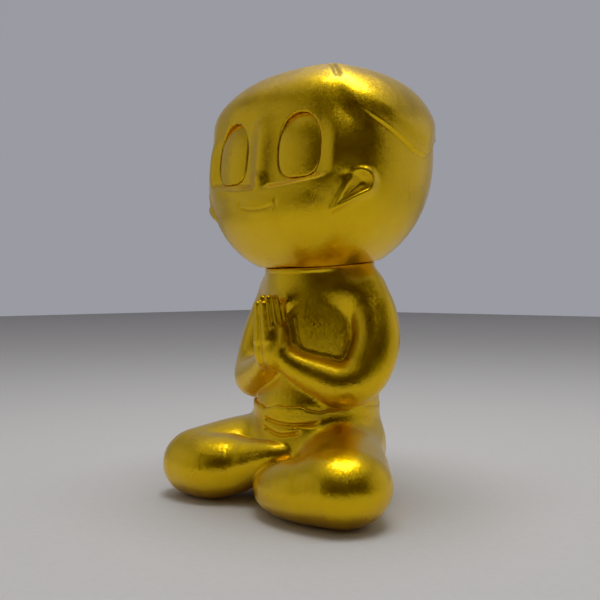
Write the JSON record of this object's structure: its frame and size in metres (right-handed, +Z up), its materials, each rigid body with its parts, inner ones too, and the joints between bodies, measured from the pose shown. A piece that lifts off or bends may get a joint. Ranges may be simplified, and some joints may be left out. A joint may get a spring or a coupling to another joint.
{
  "type": "seated praying child figurine",
  "caption": "Big-headed seated child figurine with crossed legs and joined palms; its head turns on a flanged neck spool.",
  "frame": {"origin": "on the resting plane, under the middle of the whole figure's box", "axes": "+Z up; the figure faces -Y; +X is the figure's left side"},
  "size_m": [0.0737, 0.0601, 0.1199],
  "materials": {
    "gold_paint": "satin metallic gold spray over moulded vinyl",
    "bare_plastic": "bare moulded plastic",
    "soft_pad": "matt foam rubber"
  },
  "bodies": {
    "seated_body": {"torso_shell": "gold_paint", "legs_shell": "gold_paint", "neck_spool": "bare_plastic", "waist_ring": "bare_plastic", "foot_pads": "soft_pad"},
    "head": {"head_shell": "gold_paint", "eye_left": "gold_paint", "eye_right": "gold_paint"}
  },
  "joints": [
    {"name": "head_turn", "type": "hinge", "parent": "seated_body", "child": "head", "pos_m": [0, 0.001, 0.0638], "axis": [0, -0.1045, 0.9945], "continuous": true}
  ]
}
